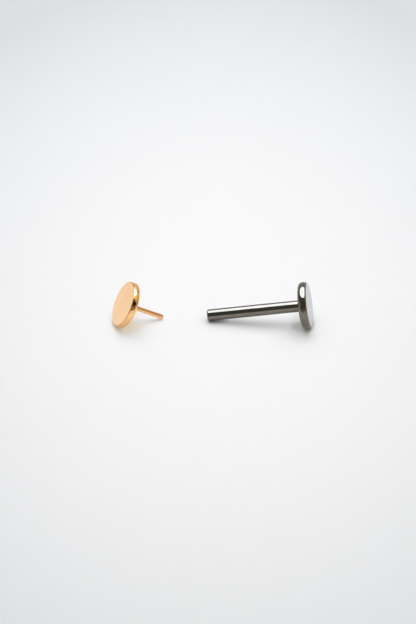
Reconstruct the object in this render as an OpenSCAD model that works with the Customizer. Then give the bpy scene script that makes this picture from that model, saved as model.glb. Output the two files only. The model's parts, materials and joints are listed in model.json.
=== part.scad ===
// A push-pin labret stud, taken apart and lying on a flat surface. Millimetres, +Z up.
// The gold end lies on the left, on its rim and its pin's tip. The post lies on the right,
// on its back disc's rim and its tube's end. +X runs from the gold end to the post.
// Each half is turned about its own axis. Along that axis zero is the disc's inner face,
// the disc is below it, and the pin or tube rises from it.

/* [Gold end] */
// Diameter of the gold disc
gold_disc_d = 4; // [3:0.1:5]
// Thickness of the gold disc
gold_disc_t = 0.6; // [0.5:0.05:1]
// Rounding of the gold disc's front edge
gold_front_round = 0.1; // [0.05:0.01:0.15]
// Rounding of the gold disc's back edge, on the pin's side
gold_back_round = 0.3; // [0.1:0.01:0.32]
// Diameter of the pin
pin_d = 0.4; // [0.3:0.02:0.44]
// Length of the pin from the disc's inner face
pin_l = 3.2; // [2.5:0.1:4.5]
// Rounding of the pin's tip
pin_tip_round = 0.06; // [0.03:0.01:0.1]
// Radius of the solder's fillet round the pin's foot
solder_fillet = 0.05; // [0.02:0.01:0.06]

/* [Post] */
// Diameter of the back disc
back_disc_d = 4; // [3:0.1:5]
// Thickness of the back disc
back_disc_t = 0.75; // [0.6:0.05:1]
// Rounding of the back disc's outer edge
back_outer_round = 0.15; // [0.05:0.01:0.2]
// Rounding of the back disc's inner edge, on the tube's side
back_inner_round = 0.3; // [0.1:0.01:0.35]
// Outer diameter of the tube
tube_d = 1; // [0.9:0.05:1.6]
// Length of the tube from the disc's inner face
tube_l = 8; // [6:0.5:12]
// Rounding of the tube's outer edge at its free end
tube_end_round = 0.05; // [0.03:0.01:0.06]
// Radius of the fillet between the tube and the back disc
tube_root_fillet = 0.08; // [0.03:0.01:0.2]

/* [Bore] */
// Radial clearance of the pin in the bore
pin_clearance = 0.025; // [0.015:0.005:0.04]
// Straight depth of the bore past the tip of the pin when the stud is pushed together
bore_spare = 1.4; // [0.2:0.1:1.4]
// Angle of the drill's point at the bore's end
drill_point_angle = 118; // [90:2:140]
// Clearance of the bore's lead-in round the solder's fillet
lead_in_clearance = 0.01; // [0.005:0.005:0.02]

/* [Lying] */
// Turn of the gold end about the vertical, its pin's tip away from the front
gold_yaw = 10; // [0:0.5:20]
// Turn of the post about the vertical, its tube's end away from the front
post_yaw = 4.75; // [0:0.25:15]
// Distance along X from the pin's tip to the tube's end
ends_gap = 3.84; // [2:0.1:6]
// Distance along Y from the tube's end to the pin's tip
ends_step = 0.17; // [0:0.01:0.5]

/* [Hidden] */
$fn = 96;

gold_disc_r = gold_disc_d / 2;
pin_r = pin_d / 2;
back_disc_r = back_disc_d / 2;
tube_r = tube_d / 2;
bore_r = pin_r + pin_clearance;
bore_l = pin_l + bore_spare;
lead_in = solder_fillet + lead_in_clearance;

// A disc with a round edge and a shaft with a round end lie on the surface at two points.
// The line between the centres of the two roundings slopes by bed_slope against the axis.
function bed_slope(disc_r, disc_round, shaft_r, shaft_l, shaft_round) =
    atan2(disc_r - disc_round - shaft_r + shaft_round, shaft_l - shaft_round + disc_round);
function bed_length(disc_r, disc_round, shaft_r, shaft_l, shaft_round) =
    norm([disc_r - disc_round - shaft_r + shaft_round, shaft_l - shaft_round + disc_round]);

// Angle by which the axis falls towards the shaft's end
function rest_tilt(disc_r, disc_round, shaft_r, shaft_l, shaft_round) =
    bed_slope(disc_r, disc_round, shaft_r, shaft_l, shaft_round)
    + asin((disc_round - shaft_round) / bed_length(disc_r, disc_round, shaft_r, shaft_l, shaft_round));

// Height of the axis over the surface at the shaft's end
function end_height(shaft_r, shaft_round, tilt) =
    (shaft_r - shaft_round) * cos(tilt) + shaft_round - shaft_round * sin(tilt);

gold_tilt = rest_tilt(gold_disc_r, gold_back_round, pin_r, pin_l, pin_tip_round);
post_tilt = rest_tilt(back_disc_r, back_inner_round, tube_r, tube_l, tube_end_round);

// Each axis as a unit vector from its disc to its shaft's end
gold_axis = [cos(gold_tilt) * cos(gold_yaw), cos(gold_tilt) * sin(gold_yaw), -sin(gold_tilt)];
post_axis = [-cos(post_tilt) * cos(post_yaw), cos(post_tilt) * sin(post_yaw), -sin(post_tilt)];

// The shafts' ends, with the tube's end over zero
pin_end = [-ends_gap, ends_step, end_height(pin_r, pin_tip_round, gold_tilt)];
tube_end = [0, 0, end_height(tube_r, tube_end_round, post_tilt)];
gold_face = pin_end - pin_l * gold_axis;
back_face = tube_end - tube_l * post_axis;

// Every rounded edge: its centre on the axis, its outer radius, its rounding and its axis
edges = [
    [gold_face - (gold_disc_t - gold_front_round) * gold_axis, gold_disc_r, gold_front_round, gold_axis],
    [gold_face - gold_back_round * gold_axis, gold_disc_r, gold_back_round, gold_axis],
    [pin_end - pin_tip_round * gold_axis, pin_r, pin_tip_round, gold_axis],
    [back_face - (back_disc_t - back_outer_round) * post_axis, back_disc_r, back_outer_round, post_axis],
    [back_face - back_inner_round * post_axis, back_disc_r, back_inner_round, post_axis],
    [tube_end - tube_end_round * post_axis, tube_r, tube_end_round, post_axis],
];

// How far a rounded edge reaches from its centre along X, Y or Z, which are 0, 1 and 2
function reach(edge, k) = (edge[1] - edge[2]) * sqrt(1 - pow(edge[3][k], 2)) + edge[2];

lowest = [for (k = [0 : 2]) min([for (edge = edges) edge[0][k] - reach(edge, k)])];
highest = [for (k = [0 : 2]) max([for (edge = edges) edge[0][k] + reach(edge, k)])];
// The middle of the pair's footprint, which becomes the origin
middle = [(lowest.x + highest.x) / 2, (lowest.y + highest.y) / 2, 0];

// A quarter of a round, in the corner that points to +X and up or down
module quarter_round(r, up) {
    intersection() {
        circle(r);
        translate([0, up ? 0 : -r])
            square(r);
    }
}

// Half the section of a disc, from its middle out, under the inner face
module disc_section(r, t, outer_round, inner_round) {
    translate([0, outer_round - t])
        square([r, t - outer_round - inner_round]);
    translate([0, -inner_round])
        square([r - inner_round, inner_round]);
    translate([r - inner_round, -inner_round])
        quarter_round(inner_round, true);
    translate([0, -t])
        square([r - outer_round, outer_round]);
    translate([r - outer_round, outer_round - t])
        quarter_round(outer_round, false);
}

// Half the section of a pin or tube with a rounded end, standing on the inner face
module shaft_section(r, l, end_round) {
    square([r, l - end_round]);
    square([r - end_round, l]);
    translate([r - end_round, l - end_round])
        quarter_round(end_round, true);
}

// Half the section of the fillet round a shaft's foot
module foot_section(shaft_r, fillet) {
    difference() {
        square([shaft_r + fillet, fillet]);
        translate([shaft_r + fillet, fillet])
            circle(fillet);
    }
}

// Half the section of the drilled bore, its lead-in and its drill point
module bore_section() {
    mouth = tube_l;
    floor_y = mouth - bore_l;
    point_l = bore_r / tan(drill_point_angle / 2);
    polygon([
        [0, mouth],
        [bore_r + lead_in, mouth],
        [bore_r, mouth - lead_in],
        [bore_r, floor_y],
        [0, floor_y - point_l],
    ]);
}

// Turns a half from upright to lying, with its inner face's centre at a point
module lay(face, tilt, yaw) {
    translate(face - middle)
        rotate([0, 90 + tilt, yaw])
            children();
}

module gold_disc_end() {
    color("burlywood")
        lay(gold_face, gold_tilt, gold_yaw)
            rotate_extrude() {
                disc_section(gold_disc_r, gold_disc_t, gold_front_round, gold_back_round);
                shaft_section(pin_r, pin_l, pin_tip_round);
                foot_section(pin_r, solder_fillet);
            }
}

module flat_back_post() {
    color("dimgray")
        lay(back_face, post_tilt, 180 - post_yaw)
            rotate_extrude()
                difference() {
                    union() {
                        disc_section(back_disc_r, back_disc_t, back_outer_round, back_inner_round);
                        shaft_section(tube_r, tube_l, tube_end_round);
                        foot_section(tube_r, tube_root_fillet);
                    }
                    bore_section();
                }
}

gold_disc_end();
flat_back_post();
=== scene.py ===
import json
import math

import bpy
from mathutils import Euler, Matrix, Vector


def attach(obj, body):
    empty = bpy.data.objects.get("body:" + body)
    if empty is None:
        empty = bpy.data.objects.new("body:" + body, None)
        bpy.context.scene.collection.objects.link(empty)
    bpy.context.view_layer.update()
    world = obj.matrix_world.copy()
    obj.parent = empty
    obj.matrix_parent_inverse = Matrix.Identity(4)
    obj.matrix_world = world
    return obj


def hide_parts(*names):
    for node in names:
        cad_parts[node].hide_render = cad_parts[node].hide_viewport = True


# A push-pin labret stud, taken apart and lying on a pale surface: a gold disc with a pin, and
# a flat-backed titanium post. Metres, +Z up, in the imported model's own frame.

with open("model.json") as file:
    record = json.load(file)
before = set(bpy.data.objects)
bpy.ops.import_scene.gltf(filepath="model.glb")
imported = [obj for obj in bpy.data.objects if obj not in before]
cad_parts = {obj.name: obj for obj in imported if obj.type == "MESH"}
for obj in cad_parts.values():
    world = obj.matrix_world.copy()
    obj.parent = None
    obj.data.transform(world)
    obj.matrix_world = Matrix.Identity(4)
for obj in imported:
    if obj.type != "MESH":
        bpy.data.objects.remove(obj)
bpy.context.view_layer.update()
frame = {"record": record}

MM = 0.001

# The gold end's sizes. The disc's rim narrows a little from its crest to its front.
GOLD_END = {
    "Disc radius": 2 * MM,
    "Disc thickness": 0.6 * MM,
    "Front fall": 0.055 * MM,
    "Front round": 0.07 * MM,
    "Crest place": 0.33 * MM,
    "Crown radius": 1.25 * MM,
    "Back round": 0.2 * MM,
    "Pin radius": 0.2 * MM,
    "Pin length": 3.2 * MM,
    "Tip round": 0.06 * MM,
    "Solder fillet": 0.05 * MM,
}

# The disc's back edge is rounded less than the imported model's, so the gold end lies this much higher
GOLD_LIFT = Vector((0, 0, 0.035)) * MM

# The post's sizes. The disc's rim is crowned: it falls away from its crest on both sides.
# Broken edge is the tiny round that reaming leaves on the bore's edges.
FLAT_BACK_POST = {
    "Disc radius": 2 * MM,
    "Disc thickness": 0.75 * MM,
    "Outer fall": 0.0775 * MM,
    "Outer round": 0.2 * MM,
    "Crest rise": 0.0176 * MM,
    "Crest place": 0.36 * MM,
    "Crown radius": 0.6 * MM,
    "Inner fall": 0.0702 * MM,
    "Inner round": 0.27 * MM,
    "Tube radius": 0.5 * MM,
    "Tube length": 8 * MM,
    "End round": 0.1 * MM,
    "Root fillet": 0.08 * MM,
    "Bore radius": 0.225 * MM,
    "Bore length": 4.6 * MM,
    "Lead-in": 0.06 * MM,
    "Drill point": 0.135 * MM,
    "Broken edge": 0.008 * MM,
}

# Each half's section, corner by corner from the axis out and back to it: how far the corner is
# out from the axis, how far along it from the disc's inner face, and its rounding
GOLD_SECTION = [
    {"out": "0", "along": "- Disc thickness", "round": "0"},
    {"out": "Disc radius - Front fall", "along": "- Disc thickness", "round": "Front round"},
    {"out": "Disc radius", "along": "- Crest place", "round": "Crown radius"},
    {"out": "Disc radius", "along": "0", "round": "Back round"},
    {"out": "Pin radius", "along": "0", "round": "Solder fillet"},
    {"out": "Pin radius", "along": "Pin length", "round": "Tip round"},
    {"out": "0", "along": "Pin length", "round": "0"},
]
POST_SECTION = [
    {"out": "0", "along": "- Disc thickness", "round": "0"},
    {"out": "Disc radius - Outer fall", "along": "- Disc thickness", "round": "Outer round"},
    {"out": "Disc radius + Crest rise", "along": "- Crest place", "round": "Crown radius"},
    {"out": "Disc radius - Inner fall", "along": "0", "round": "Inner round"},
    {"out": "Tube radius", "along": "0", "round": "Root fillet"},
    {"out": "Tube radius", "along": "Tube length", "round": "End round"},
    {"out": "Bore radius + Lead-in", "along": "Tube length", "round": "Broken edge"},
    {"out": "Bore radius", "along": "Tube length - Lead-in", "round": "Broken edge"},
    {"out": "Bore radius", "along": "Tube length - Bore length", "round": "Broken edge"},
    {"out": "0", "along": "Tube length - Bore length - Drill point", "round": "0"},
]

# How the halves are turned: the steps round the axis and over each rounding, how far past a
# rounding its two neighbouring points lie, the radius of the circle that carries the section, and
# how near points have to be to become one
STEPS_ROUND = 256
STEPS_PER_ROUNDING = 12
RING_GAP = 0.01 * MM
SPINDLE = 1 * MM
WELD = 0.00002 * MM

# The finishes. Places are in millimetres, out from a half's axis or along it from the disc's
# inner face, and a finish comes in from the first place of a pair to the second. Grains are to a
# millimetre and angles in degrees. A pair of colours is blended by the cloud, and a pair of
# roughnesses by the fog.
GOLD_FINISH = {
    "cloud grains": 0.9,
    "fog grains": 2.2,
    "wave grains": 1.3,
    "wave depth": 0.006 * MM,
    "hairline angles": [(20, 65, 0), (80, 15, 30), (140, 70, 10)],
    "hairline grains": 14.0,
    "hairline share": 0.36,
    "hairline depth": 0.0004 * MM,
    "face": ((0.915, 0.585, 0.31), (0.905, 0.555, 0.275)),
    "rim": ((0.97, 0.565, 0.26), (0.96, 0.54, 0.235)),
    "rim out": (1.86, 1.92),
    "front edge": (0.80, 0.41, 0.15),
    "front edge along": (-0.49, -0.53),
    "seam": (0.82, 0.50, 0.255),
    "seam out": (0.29, 0.22),
    "seam from the disc": (-0.1, -0.02),
    "seam from the pin": (0.14, 0.04),
    "least seam": 0.3,
    "roughness": (0.045, 0.10),
    "hairline roughness": 0.06,
    "seam roughness": 0.08,
    "roughness left on the rim": 0.5,
}
TITANIUM_FINISH = {
    "cloud grains": 0.8,
    "fog grains": 1.9,
    "wave grains": 1.1,
    "wave depth": 0.002 * MM,
    "ring grains": 26.0,
    "streak grains": (20, 20, 0.7),
    "mark depth": 0.0008 * MM,
    "hairline angles": [(75, 20, 0), (60, 70, 30), (15, 80, 100)],
    "hairline grains": 12.0,
    "hairline share": 0.34,
    "hairline depth": 0.0004 * MM,
    "grey": ((0.19, 0.17, 0.145), (0.165, 0.148, 0.125)),
    "worn": (0.22, 0.20, 0.17),
    "most worn": 0.5,
    "lapped": ((0.375, 0.385, 0.395), (0.41, 0.42, 0.43)),
    "lapped along": (-0.735, -0.748),
    "tube along": (0.02, 0.08),
    "rim out": (1.8, 1.9),
    "roughness": (0.05, 0.10),
    "mark roughness": 0.04,
    "hairline roughness": 0.05,
    "roughness left on the rim": 0.5,
}

# The part of a noise round 0.5 that is spread out into a cloud of colour, a fog of roughness,
# patches of solder's seam or worn marks
CLOUD = (0.35, 0.65)
FOG = (0.3, 0.7)
PATCHES = (0.35, 0.6)
WORN = (0.35, 0.7)

# How many times longer than wide a hairline is, how soft its edge is, and how many times to a
# millimetre the turned rings change as they go round
HAIRLINE_LENGTH = 40
HAIRLINE_EDGE = 0.08
RING_CHANGE = 0.9

# The photograph's view: 35 degrees above the surface, looking along +Y. The frame's height and
# the focal length are in pixels, and the sensor's height is in millimetres.
VIEW_ELEVATION = 35
VIEW_DISTANCE = 290 * MM
VIEW_AIM = Vector((-0.405, 1.72, 0)) * MM
FRAME_HEIGHT = 624
FOCAL_LENGTH_PX = 3409
SENSOR = 36

# The floor's tone at its middle, and at half width and half depth from there, a painted pool of light;
# its faint painted glow, and how near a thing has to be to shut that glow out, which paints shade there
FLOOR_HALF_WIDTH = 1500 * MM
PANEL = {"middle": Vector((0.5, 0.9, 0)) * MM, "half width": 35 * MM, "half depth": 59 * MM,
         "middle tone": (0.2854, 0.2678, 0.2497), "edge tone": (0.202, 0.1969, 0.1855),
         "painted glow": 1.63, "painted glow tint": (0.94, 1.0, 1.08), "shaded within": 0.32 * MM}

# The panel's surface, which light soaks into, and how many rays feel for what is above it to paint shade
PANEL_SKIN = {"Roughness": 0.9, "Specular IOR Level": 0.2, "Subsurface Weight": 1,
              "Subsurface Radius": (1.0, 1.0, 1.0), "Subsurface Scale": 0.25 * MM}
OPENNESS_SAMPLES = 8

# Painted shade round the dark post: it dims the panel's glow further off than the bright gold end and the
# lapped face do
POST_DIMS = {"within": 1.6 * MM, "share": 0.46, "from x": -4.5 * MM, "fully from x": -0.5 * MM,
             "until x": 8.5 * MM, "gone by x": 8.9 * MM}

# Painted light and shade on the panel at the stud's feet, laid over each other in this order: an oval
# that fades from the part of it that is at full strength to its edge, its painted tint, and the painted
# light that is left there in the corner that a foot shuts in
AT_THE_FEET = [
    {"what": "light thrown in front of the gold disc", "middle": Vector((-7.75, -1.4, 0)) * MM,
     "half width": 0.95 * MM, "half depth": 0.8 * MM, "full within": 0.2,
     "tint": (1.05, 1.055, 1.06), "in the corner": (0, 0, 0)},
    {"what": "warm light under the gold disc", "middle": Vector((-7.4, -0.35, 0)) * MM,
     "half width": 1.8 * MM, "half depth": 1.5 * MM, "full within": 0,
     "tint": (1.11, 0.99, 0.75), "in the corner": (0.32, 0.22, 0.13)},
    {"what": "warm light under the pin's tip", "middle": Vector((-4.8, 0.4, 0)) * MM,
     "half width": 1.0 * MM, "half depth": 0.8 * MM, "full within": 0.6,
     "tint": (1, 1, 1), "in the corner": (0.28, 0.22, 0.15)},
    {"what": "shade between the tube and the back disc", "middle": Vector((7.35, -0.45, 0)) * MM,
     "half width": 1.0 * MM, "half depth": 1.0 * MM, "full within": 0.4,
     "tint": (0.78, 0.79, 0.77), "in the corner": (0, 0, 0)},
    {"what": "straw shade in front of the back disc's foot", "middle": Vector((7.86, -1.22, 0)) * MM,
     "half width": 0.45 * MM, "half depth": 0.4 * MM, "full within": 0.3,
     "tint": (0.86, 0.85, 0.77), "in the corner": (0, 0, 0)},
]

# The oval softbox over the stud, facing straight down
SOFTBOX = {"centre": Vector((11, 156, 400)) * MM, "width": 527 * MM, "depth": 544 * MM,
           "light": 6.4, "colour": (0.79, 0.87, 1.0)}

# What the metals reflect round the stud: a dim room, and patches laid over it in this order.
# They are in degrees. Azimuth 0 is away from the camera and 90 to the right, elevation 90 is
# straight up, and soft is half an edge's width.
ROOM_DIM = (0.20, 0.20, 0.20)
ROOM = [
    {"what": "pale wall behind", "left": -50, "right": 6, "low": -5, "high": 40, "soft": 8,
     "light": (0.66, 0.69, 0.66)},
    {"what": "corner at the back on the right", "left": 6, "right": 48, "low": -5, "high": 40, "soft": 8,
     "light": (0.66, 0.56, 0.46)},
    {"what": "pale curtain in the corner", "left": 8, "right": 28, "low": 18, "high": 44, "soft": 4,
     "light": (0.78, 0.75, 0.74)},
    {"what": "bright top of the corner", "left": 16, "right": 42, "low": 34, "high": 54, "soft": 4,
     "light": (0.92, 0.86, 0.82)},
    {"what": "wooden room on the right", "left": 50, "right": 140, "low": -20, "high": 40, "soft": 8,
     "light": (0.61, 0.41, 0.22)},
    {"what": "top of the wooden room", "left": 50, "right": 121, "low": 42, "high": 64, "soft": 3,
     "light": (0.92, 0.76, 0.36)},
    {"what": "dark room in front", "left": 140, "right": 225, "low": -20, "high": 56, "soft": 10,
     "light": (0.15, 0.165, 0.145)},
    {"what": "far table in front", "left": 120, "right": 235, "low": -20, "high": 12, "soft": 9,
     "light": (0.43, 0.37, 0.30)},
    {"what": "near end of the table", "left": 122, "right": 150, "low": -20, "high": 10, "soft": 8,
     "light": (0.57, 0.36, 0.20)},
    {"what": "wooden chest beyond it", "left": 150, "right": 172, "low": 6, "high": 25, "soft": 4,
     "light": (0.36, 0.26, 0.11)},
    {"what": "bright floor further off", "left": 146, "right": 174, "low": -8, "high": 7, "soft": 3,
     "light": (1.0, 1.0, 0.97)},
    {"what": "dark doorway", "left": 126, "right": 151, "low": 25, "high": 47, "soft": 4,
     "light": (0.01, 0.01, 0.01)},
    {"what": "lit shelf on the left", "left": -135, "right": -48, "low": -8, "high": 34, "soft": 6,
     "light": (0.72, 0.66, 0.48)},
    {"what": "window on the right", "left": 54, "right": 70, "low": 20, "high": 30, "soft": 3,
     "light": (1.8, 1.8, 1.75)},
]

# The pale backdrop that the camera sees past the floor
SEEN_ROOM = (0.82, 0.83, 0.84)


def wired(tree, kind, inputs=None, **settings):
    """Adds a node, sets its settings, and sets or links its inputs, named by name or number"""
    node = tree.nodes.new(kind)
    for setting, value in settings.items():
        setattr(node, setting, value)
    for key, value in (inputs or {}).items():
        socket = node.inputs[key]
        if isinstance(value, bpy.types.NodeSocket):
            tree.links.new(value, socket)
        else:
            socket.default_value = value
    return node


def reckoned(tree, operation, first, second=0.0):
    """The socket of a sum, product or other reckoning of two numbers"""
    return wired(tree, "ShaderNodeMath", {0: first, 1: second}, operation=operation).outputs[0]


def summed(tree, given, words):
    """The socket or number for a sum of sizes in words, such as Tube length - Lead-in"""
    total = 0.0
    sign = "ADD"
    for word in words.replace(" + ", "|+|").replace(" - ", "|-|").replace("- ", "-|").split("|"):
        if word in ("+", "-"):
            sign = "ADD" if word == "+" else "SUBTRACT"
        elif word != "0":
            total = reckoned(tree, sign, total, given[word])
    return total


def chosen(tree, kind, index, choices):
    """The choice whose place in the list is index"""
    node = tree.nodes.new("GeometryNodeIndexSwitch")
    node.data_type = kind
    while len(node.index_switch_items) < len(choices):
        node.index_switch_items.new()
    tree.links.new(index, node.inputs[0])
    for socket, choice in zip(node.inputs[1:], choices):
        if isinstance(choice, bpy.types.NodeSocket):
            tree.links.new(choice, socket)
        else:
            socket.default_value = choice
    return node.outputs[0]


def corner_near(tree, corners, index):
    """The place of the corner with this index"""
    here = wired(tree, "GeometryNodeInputPosition").outputs[0]
    sample = tree.nodes.new("GeometryNodeSampleIndex")
    sample.data_type, sample.domain, sample.clamp = "FLOAT_VECTOR", "POINT", True
    for socket, value in (("Geometry", corners), ("Value", here), ("Index", index)):
        tree.links.new(value, sample.inputs[socket])
    return sample.outputs[0]


def heading(tree, start, end):
    """The direction from start to end"""
    away = wired(tree, "ShaderNodeVectorMath", {0: end, 1: start}, operation="SUBTRACT").outputs[0]
    return wired(tree, "ShaderNodeVectorMath", {0: away}, operation="NORMALIZE").outputs[0]


def turning_tree(name, sizes, section):
    """A tree that turns a section round its axis, with the section's sizes as its inputs"""
    tree = bpy.data.node_groups.new(name, "GeometryNodeTree")
    face = tree.interface
    for size in [*sizes, "Ring gap", "Spindle", "Weld"]:
        face.new_socket(size, in_out="INPUT", socket_type="NodeSocketFloat").subtype = "DISTANCE"
    for count in ("Steps round", "Steps per rounding"):
        face.new_socket(count, in_out="INPUT", socket_type="NodeSocketInt")
    face.new_socket("Metal", in_out="INPUT", socket_type="NodeSocketMaterial")
    face.new_socket("Piece", in_out="OUTPUT", socket_type="NodeSocketGeometry")
    given = {socket.name: socket for socket in tree.nodes.new("NodeGroupInput").outputs}
    index = wired(tree, "GeometryNodeInputIndex").outputs[0]

    # The section's corners
    spots, rounds = [], []
    for corner in section:
        out = summed(tree, given, corner["out"])
        along = summed(tree, given, corner["along"])
        spots.append(wired(tree, "ShaderNodeCombineXYZ", {0: out, 1: along}).outputs[0])
        rounds.append(summed(tree, given, corner["round"]))
    corners = wired(tree, "GeometryNodePoints", {
        "Count": len(section), "Position": chosen(tree, "VECTOR", index, spots)}).outputs[0]

    # Three points for each corner: itself, and one on either side just past its rounding
    which = wired(tree, "FunctionNodeIntegerMath", {0: index, 1: 3}, operation="DIVIDE_FLOOR").outputs[0]
    third = wired(tree, "FunctionNodeIntegerMath", {0: index, 1: 3}, operation="MODULO").outputs[0]
    side = wired(tree, "FunctionNodeIntegerMath", {0: third, 1: 1}, operation="SUBTRACT").outputs[0]
    before = wired(tree, "FunctionNodeIntegerMath", {0: which, 1: 1}, operation="SUBTRACT").outputs[0]
    after = wired(tree, "FunctionNodeIntegerMath", {0: which, 1: 1}, operation="ADD").outputs[0]
    next_door = wired(tree, "FunctionNodeIntegerMath", {0: which, 1: side}, operation="ADD").outputs[0]
    at = corner_near(tree, corners, which)
    arriving = heading(tree, corner_near(tree, corners, before), at)
    leaving = heading(tree, at, corner_near(tree, corners, after))
    straightness = wired(tree, "ShaderNodeVectorMath", {0: arriving, 1: leaving},
                         operation="DOT_PRODUCT").outputs["Value"]
    half_turn = reckoned(tree, "MULTIPLY", reckoned(tree, "ARCCOSINE", straightness), 0.5)
    rounding = chosen(tree, "FLOAT", which, rounds)
    tangent = reckoned(tree, "MULTIPLY", rounding, reckoned(tree, "TANGENT", half_turn))
    reach = reckoned(tree, "ADD", tangent, given["Ring gap"])
    sideways = heading(tree, at, corner_near(tree, corners, next_door))
    step = wired(tree, "ShaderNodeVectorMath", {0: sideways, "Scale": reach}, operation="SCALE").outputs[0]
    point = wired(tree, "ShaderNodeVectorMath", {0: at, 1: step}, operation="ADD").outputs[0]
    rings = wired(tree, "GeometryNodePoints", {"Count": 3 * len(section), "Position": point}).outputs[0]

    # The rounded section, moved out by the spindle's radius and turned round it
    line = wired(tree, "GeometryNodePointsToCurves", {"Points": rings}).outputs[0]
    radius = chosen(tree, "FLOAT", third, [0.0, rounding, 0.0])
    rounded = wired(tree, "GeometryNodeFilletCurve", {
        "Curve": line, "Count": given["Steps per rounding"], "Radius": radius}, mode="POLY").outputs[0]
    shift_x = reckoned(tree, "SUBTRACT", 0.0, given["Spindle"])
    shift = wired(tree, "ShaderNodeCombineXYZ", {0: shift_x}).outputs[0]
    moved = wired(tree, "GeometryNodeTransform", {
        "Geometry": rounded, "Translation": shift, "Scale": (1, -1, 1)}).outputs[0]
    spindle = wired(tree, "GeometryNodeCurvePrimitiveCircle", {
        "Resolution": given["Steps round"], "Radius": given["Spindle"]}).outputs["Curve"]
    turned = wired(tree, "GeometryNodeCurveToMesh", {"Curve": spindle, "Profile Curve": moved}).outputs[0]
    outward = wired(tree, "GeometryNodeFlipFaces", {"Mesh": turned}).outputs[0]
    welded = wired(tree, "GeometryNodeMergeByDistance", {
        "Geometry": outward, "Distance": given["Weld"]}).outputs[0]
    smooth = wired(tree, "GeometryNodeSetShadeSmooth", {"Geometry": welded}).outputs[0]
    real = wired(tree, "GeometryNodeRealizeInstances", {"Geometry": smooth}).outputs[0]
    metal = wired(tree, "GeometryNodeSetMaterial", {"Geometry": real, "Material": given["Metal"]}).outputs[0]
    wired(tree, "NodeGroupOutput", {"Piece": metal})
    return tree


def mount(name):
    """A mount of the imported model: its place and its axis"""
    found = next(m for m in frame["record"]["mounts"] if m["name"] == name)
    return Vector(found["pos_m"]), Vector(found["axis"]).normalized()


def lying(face, axis):
    """The placing of an upright half so that it lies with its disc's inner face at face"""
    tilt = math.acos(axis.z)
    yaw = math.atan2(axis.y, axis.x)
    return Matrix.Translation(face) @ Euler((0, tilt, yaw)).to_matrix().to_4x4()


def turned_piece(name, sizes, section, metal, place):
    """One solid half, turned by its tree and laid in its place"""
    piece = bpy.data.objects.new(name, bpy.data.meshes.new(name))
    bpy.context.scene.collection.objects.link(piece)
    turning = piece.modifiers.new("turning", "NODES")
    turning.node_group = turning_tree(name + "_turning", sizes, section)
    values = {**sizes, "Ring gap": RING_GAP, "Spindle": SPINDLE, "Weld": WELD,
              "Steps round": STEPS_ROUND, "Steps per rounding": STEPS_PER_ROUNDING, "Metal": metal}
    for socket in turning.node_group.interface.items_tree:
        if socket.in_out == "INPUT":
            turning[socket.identifier] = values[socket.name]
    made = bpy.data.meshes.new_from_object(piece.evaluated_get(bpy.context.evaluated_depsgraph_get()))
    piece.modifiers.remove(turning)
    piece.data = made
    made.name = name
    made.transform(place)
    return piece


def blended(tree, share, first, second):
    """The colour that is first where share is 0 and second where it is 1"""
    mix = tree.nodes.new("ShaderNodeMix")
    mix.data_type = "RGBA"
    for number, value in ((0, share), (6, first), (7, second)):
        if isinstance(value, bpy.types.NodeSocket):
            tree.links.new(value, mix.inputs[number])
        elif number:
            mix.inputs[number].default_value = (*value, 1)
        else:
            mix.inputs[number].default_value = value
    return mix.outputs[2]


def ranged(tree, value, start, end, low=0.0, high=1.0, ease="SMOOTHSTEP"):
    """The value brought from start..end to low..high"""
    return wired(tree, "ShaderNodeMapRange", {0: value, 1: start, 2: end, 3: low, 4: high},
                 interpolation_type=ease).outputs[0]


def noise(tree, where, scale, detail=3.0, roughness=0.5):
    """Noise round 0.5 with this many grains to a millimetre"""
    return wired(tree, "ShaderNodeTexNoise", {
        "Vector": where, "Scale": scale, "Detail": detail, "Roughness": roughness}).outputs[0]


def stretched(tree, where, scales):
    """The coordinates, each multiplied by its own scale"""
    return wired(tree, "ShaderNodeVectorMath", {0: where, 1: scales}, operation="MULTIPLY").outputs[0]


def lathe_coordinates(tree, place):
    """Coordinates in millimetres about a half's own axis: the place itself, how far out, how far along"""
    coordinates = wired(tree, "ShaderNodeTexCoord").outputs["Object"]
    own = wired(tree, "ShaderNodeMapping", {
        "Vector": coordinates, "Location": place.to_translation(), "Rotation": place.to_euler(),
        "Scale": (MM, MM, MM)}, vector_type="TEXTURE").outputs[0]
    across = stretched(tree, own, (1, 1, 0))
    out = wired(tree, "ShaderNodeVectorMath", {0: across}, operation="LENGTH").outputs["Value"]
    along = wired(tree, "ShaderNodeSeparateXYZ", {0: own}).outputs[2]
    return own, out, along


def turned_rings(tree, own, out, along, grains):
    """The fine rings that turning leaves on faces and rims"""
    across = reckoned(tree, "MULTIPLY", reckoned(tree, "ADD", out, along), grains)
    slow = stretched(tree, own, (RING_CHANGE, RING_CHANGE, RING_CHANGE))
    slow_x, slow_y = wired(tree, "ShaderNodeSeparateXYZ", {0: slow}).outputs[:2]
    where = wired(tree, "ShaderNodeCombineXYZ", {0: across, 1: slow_x, 2: slow_y}).outputs[0]
    return noise(tree, where, 1.0)


def hairlines(tree, own, finish):
    """Sparse fine scratches that lie at the finish's angles"""
    grains = finish["hairline grains"]
    start = 1 - finish["hairline share"]
    total = 0.0
    for angle in finish["hairline angles"]:
        turned = wired(tree, "ShaderNodeMapping", {
            "Vector": own, "Rotation": [math.radians(a) for a in angle]}).outputs[0]
        drawn_out = stretched(tree, turned, (grains, grains, grains / HAIRLINE_LENGTH))
        streak = noise(tree, drawn_out, 1.0, detail=1.0)
        total = reckoned(tree, "MAXIMUM", total, ranged(tree, streak, start, start + HAIRLINE_EDGE))
    return total


def polished(name, place):
    """A new metal with its tree, its shader and its coordinates"""
    metal = bpy.data.materials.new(name)
    metal.use_nodes = True
    tree = metal.node_tree
    skin = tree.nodes["Principled BSDF"]
    skin.inputs["Metallic"].default_value = 1
    return metal, tree, skin, lathe_coordinates(tree, place)


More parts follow.
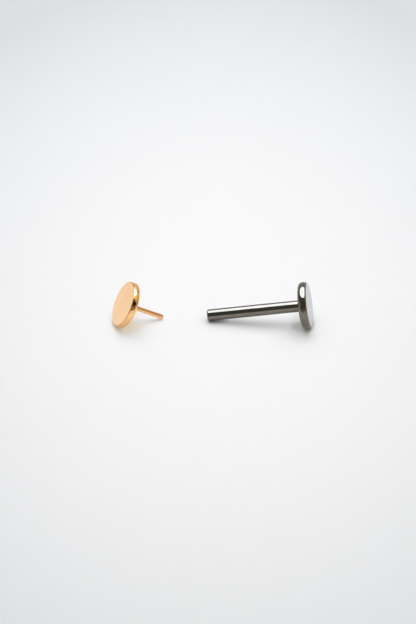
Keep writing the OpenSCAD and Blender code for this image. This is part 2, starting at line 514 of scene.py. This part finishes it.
def bumped(tree, height, depth, under=None):
    """A bump of this depth in metres, over another bump if there is one"""
    inputs = {"Height": height, "Distance": depth}
    if under is not None:
        inputs["Normal"] = under
    return wired(tree, "ShaderNodeBump", inputs).outputs[0]


def rubbed(tree, skin, finish, rough, out, lines, under):
    """Gives the metal its roughness, less on the rim, and its hairlines over the bumps under them"""
    rim = ranged(tree, out, *finish["rim out"], 1.0, finish["roughness left on the rim"])
    tree.links.new(reckoned(tree, "MULTIPLY", rough, rim), skin.inputs["Roughness"])
    scratched = bumped(tree, reckoned(tree, "SUBTRACT", 1.0, lines), finish["hairline depth"], under)
    tree.links.new(scratched, skin.inputs["Normal"])


def polished_gold(place):
    """Warm peach gold, buffed by hand: soft waves, hairlines, a smoother rim of deeper gold with a
    fine darker line along its front edge, and a darker seam of solder"""
    finish = GOLD_FINISH
    metal, tree, skin, (own, out, along) = polished("polished_gold", place)
    cloud = ranged(tree, noise(tree, own, finish["cloud grains"], detail=2.0), *CLOUD)
    fog = noise(tree, own, finish["fog grains"], detail=5.0, roughness=0.6)
    lines = hairlines(tree, own, finish)
    on_rim = ranged(tree, out, *finish["rim out"])
    at_edge = reckoned(tree, "MULTIPLY", on_rim, ranged(tree, along, *finish["front edge along"]))
    at_foot = reckoned(tree, "MULTIPLY", ranged(tree, along, *finish["seam from the disc"]),
                       ranged(tree, along, *finish["seam from the pin"]))
    at_seam = reckoned(tree, "MULTIPLY", ranged(tree, out, *finish["seam out"]), at_foot)
    patches = ranged(tree, fog, *PATCHES, finish["least seam"], 1.0)
    seam = reckoned(tree, "MULTIPLY", at_seam, patches)

    colour = blended(tree, cloud, *finish["face"])
    colour = blended(tree, on_rim, colour, blended(tree, cloud, *finish["rim"]))
    colour = blended(tree, at_edge, colour, finish["front edge"])
    colour = blended(tree, seam, colour, finish["seam"])
    tree.links.new(colour, skin.inputs["Base Color"])

    rough = ranged(tree, fog, *FOG, *finish["roughness"], ease="LINEAR")
    for marks, more in ((lines, finish["hairline roughness"]), (seam, finish["seam roughness"])):
        rough = reckoned(tree, "ADD", rough, reckoned(tree, "MULTIPLY", marks, more))
    waves = bumped(tree, noise(tree, own, finish["wave grains"], detail=1.0), finish["wave depth"])
    rubbed(tree, skin, finish, rough, out, lines, waves)
    return metal


def polished_titanium(place):
    """Dark titanium: rings from turning on the disc, drawn streaks along the tube, a straw tint,
    a smoother rim and a brighter lapped outer face"""
    finish = TITANIUM_FINISH
    metal, tree, skin, (own, out, along) = polished("polished_titanium", place)
    cloud = noise(tree, own, finish["cloud grains"])
    fog = noise(tree, own, finish["fog grains"], detail=5.0, roughness=0.6)
    lines = hairlines(tree, own, finish)
    rings = turned_rings(tree, own, out, along, finish["ring grains"])
    streaks = noise(tree, stretched(tree, own, finish["streak grains"]), 1.0)
    on_tube = ranged(tree, along, *finish["tube along"])
    marks = reckoned(tree, "ADD", reckoned(tree, "MULTIPLY", streaks, on_tube),
                     reckoned(tree, "MULTIPLY", rings, reckoned(tree, "SUBTRACT", 1.0, on_tube)))

    grey = blended(tree, ranged(tree, cloud, *CLOUD), *finish["grey"])
    wear = ranged(tree, marks, *WORN, 0.0, finish["most worn"])
    worn = blended(tree, wear, grey, finish["worn"])
    on_face = ranged(tree, along, *finish["lapped along"])
    colour = blended(tree, on_face, worn, blended(tree, cloud, *finish["lapped"]))
    tree.links.new(colour, skin.inputs["Base Color"])

    rough = ranged(tree, fog, *FOG, *finish["roughness"], ease="LINEAR")
    marked = ranged(tree, marks, *FOG, 0.0, finish["mark roughness"], ease="LINEAR")
    scratches = reckoned(tree, "MULTIPLY", lines, finish["hairline roughness"])
    rough = reckoned(tree, "ADD", reckoned(tree, "ADD", rough, marked), scratches)
    waves = bumped(tree, noise(tree, own, finish["wave grains"], detail=1.0), finish["wave depth"])
    turned = bumped(tree, marks, finish["mark depth"], waves)
    rubbed(tree, skin, finish, rough, out, lines, turned)
    return metal


def how_far(tree, where, oval):
    """How far a place is from an oval's middle, with its edge at 1"""
    about = wired(tree, "ShaderNodeVectorMath", {0: where, 1: oval["middle"]},
                  operation="SUBTRACT").outputs[0]
    scaled = stretched(tree, about, (1 / oval["half width"], 1 / oval["half depth"], 0))
    return wired(tree, "ShaderNodeVectorMath", {0: scaled}, operation="LENGTH").outputs["Value"]


def openness(tree, within):
    """How open the panel is to what is above it, with 1 where nothing is within this distance"""
    feeler = wired(tree, "ShaderNodeAmbientOcclusion", {"Distance": within}, samples=OPENNESS_SAMPLES)
    return feeler.outputs["AO"]


def glowing_floor():
    """The floor: a panel that light soaks into, with a faint painted glow that lifts its shadows. A
    painted pool of light makes it a little darker and cooler further out, and painted light and shade
    tint it at the stud's feet."""
    panel = bpy.data.materials.new("glowing_floor")
    panel.use_nodes = True
    tree = panel.node_tree
    skin = tree.nodes["Principled BSDF"]
    coordinates = wired(tree, "ShaderNodeTexCoord").outputs["Object"]
    # The tone falls off from the middle to the edge: a painted pool of light
    away = how_far(tree, coordinates, PANEL)
    share = reckoned(tree, "MINIMUM", reckoned(tree, "MULTIPLY", away, away), 1.0)
    tone = blended(tree, share, PANEL["middle tone"], PANEL["edge tone"])
    corner = (0, 0, 0)
    # Each spot tints the tone and sets the corner's colour: painted light and shade at the feet
    for spot in AT_THE_FEET:
        here = ranged(tree, how_far(tree, coordinates, spot), 1, spot["full within"])
        tone = stretched(tree, tone, blended(tree, here, (1, 1, 1), spot["tint"]))
        corner = blended(tree, here, corner, spot["in the corner"])
    tree.links.new(tone, skin.inputs["Base Color"])
    # The glow is painted light; near what stands on the panel it gives way to the corner's painted colour
    lit = stretched(tree, tone, PANEL["painted glow tint"])
    glow = blended(tree, openness(tree, PANEL["shaded within"]), corner, lit)
    tree.links.new(glow, skin.inputs["Emission Color"])

    # Painted shade: the glow is dimmed where the post stands near the panel, between these x places
    x = wired(tree, "ShaderNodeSeparateXYZ", {0: coordinates}).outputs[0]
    coming = ranged(tree, x, POST_DIMS["from x"], POST_DIMS["fully from x"], 0, POST_DIMS["share"])
    going = ranged(tree, x, POST_DIMS["gone by x"], POST_DIMS["until x"])
    near_post = reckoned(tree, "MULTIPLY", coming, going)
    covered = reckoned(tree, "SUBTRACT", 1, openness(tree, POST_DIMS["within"]))
    shut = reckoned(tree, "MULTIPLY", near_post, covered)
    strength = reckoned(tree, "MULTIPLY", reckoned(tree, "SUBTRACT", 1, shut), PANEL["painted glow"])
    tree.links.new(strength, skin.inputs["Emission Strength"])
    for socket, value in PANEL_SKIN.items():
        skin.inputs[socket].default_value = value
    return panel


def lay_floor():
    """The plain pale floor"""
    half = FLOOR_HALF_WIDTH
    corners = [(-half, -half, 0), (half, -half, 0), (half, half, 0), (-half, half, 0)]
    mesh = bpy.data.meshes.new("floor")
    mesh.from_pydata(corners, [], [(0, 1, 2, 3)])
    floor = bpy.data.objects.new("floor", mesh)
    mesh.materials.append(glowing_floor())
    bpy.context.scene.collection.objects.link(floor)


def set_camera():
    """The camera, at the photograph's angle"""
    up = math.radians(VIEW_ELEVATION)
    lens = bpy.data.cameras.new("camera")
    lens.sensor_width = SENSOR
    lens.lens = SENSOR * FOCAL_LENGTH_PX / FRAME_HEIGHT
    lens.clip_start = 10 * MM
    camera = bpy.data.objects.new("camera", lens)
    camera.location = VIEW_AIM + VIEW_DISTANCE * Vector((0, -math.cos(up), math.sin(up)))
    camera.rotation_euler = (math.pi / 2 - up, 0, 0)
    bpy.context.scene.collection.objects.link(camera)
    bpy.context.scene.camera = camera


def hang_softbox():
    """The softbox over the stud"""
    lamp = bpy.data.lights.new("softbox", "AREA")
    lamp.shape = "ELLIPSE"
    lamp.size = SOFTBOX["width"]
    lamp.size_y = SOFTBOX["depth"]
    lamp.color = SOFTBOX["colour"]
    area = math.pi / 4 * lamp.size * lamp.size_y
    lamp.energy = SOFTBOX["light"] * math.pi * area
    softbox = bpy.data.objects.new("softbox", lamp)
    softbox.location = SOFTBOX["centre"]
    bpy.context.scene.collection.objects.link(softbox)


def build_room():
    """The room that the metals reflect. The camera sees only a pale backdrop past the floor."""
    room = bpy.data.worlds.new("room")
    room.use_nodes = True
    tree = room.node_tree
    toward = wired(tree, "ShaderNodeTexCoord").outputs["Generated"]
    part = wired(tree, "ShaderNodeSeparateXYZ", {0: toward}).outputs
    azimuth = reckoned(tree, "ARCTAN2", part[0], part[1])
    elevation = reckoned(tree, "ARCSINE", part[2])
    light = ROOM_DIM
    for patch in ROOM:
        left, right, low, high, soft = (
            math.radians(patch[edge]) for edge in ("left", "right", "low", "high", "soft"))
        wide, tall = (right - left) / 2, (high - low) / 2
        turned = reckoned(tree, "SUBTRACT", azimuth, (left + right) / 2)
        wrapped = wired(tree, "ShaderNodeMath", {0: turned, 1: math.pi, 2: -math.pi}, operation="WRAP")
        aside = reckoned(tree, "ABSOLUTE", wrapped.outputs[0])
        above = reckoned(tree, "ABSOLUTE", reckoned(tree, "SUBTRACT", elevation, (low + high) / 2))
        within = reckoned(tree, "MULTIPLY", ranged(tree, aside, wide + soft, wide - soft),
                          ranged(tree, above, tall + soft, tall - soft))
        light = blended(tree, within, light, patch["light"])
    seen = wired(tree, "ShaderNodeLightPath").outputs["Is Camera Ray"]
    light = blended(tree, seen, light, SEEN_ROOM)
    tree.links.new(light, tree.nodes["Background"].inputs["Color"])
    bpy.context.scene.world = room


# The pin's mount is in the middle of its straight stretch, from the solder's fillet to the tip's
# rounding, and the post's is on its disc's outer face
pin_middle, gold_axis = mount("end_pin")
gold_face = pin_middle - gold_axis * (
    GOLD_END["Solder fillet"] + GOLD_END["Pin length"] - GOLD_END["Tip round"]) / 2
outer_face, outward = mount("back_disc_outer_face")
post_axis = -outward
post_face = outer_face + post_axis * FLAT_BACK_POST["Disc thickness"]
gold_place = lying(gold_face + GOLD_LIFT, gold_axis)
post_place = lying(post_face, post_axis)

gold_end = turned_piece("gold_disc_and_pin", GOLD_END, GOLD_SECTION,
                        polished_gold(gold_place), gold_place)
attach(gold_end, "root")
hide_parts("gold_disc_end")

post = turned_piece("flat_back_titanium_post", FLAT_BACK_POST, POST_SECTION,
                    polished_titanium(post_place), post_place)
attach(post, "root")
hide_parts("flat_back_post")

lay_floor()
set_camera()
hang_softbox()
build_room()
bpy.context.scene.view_settings.view_transform = "Standard"
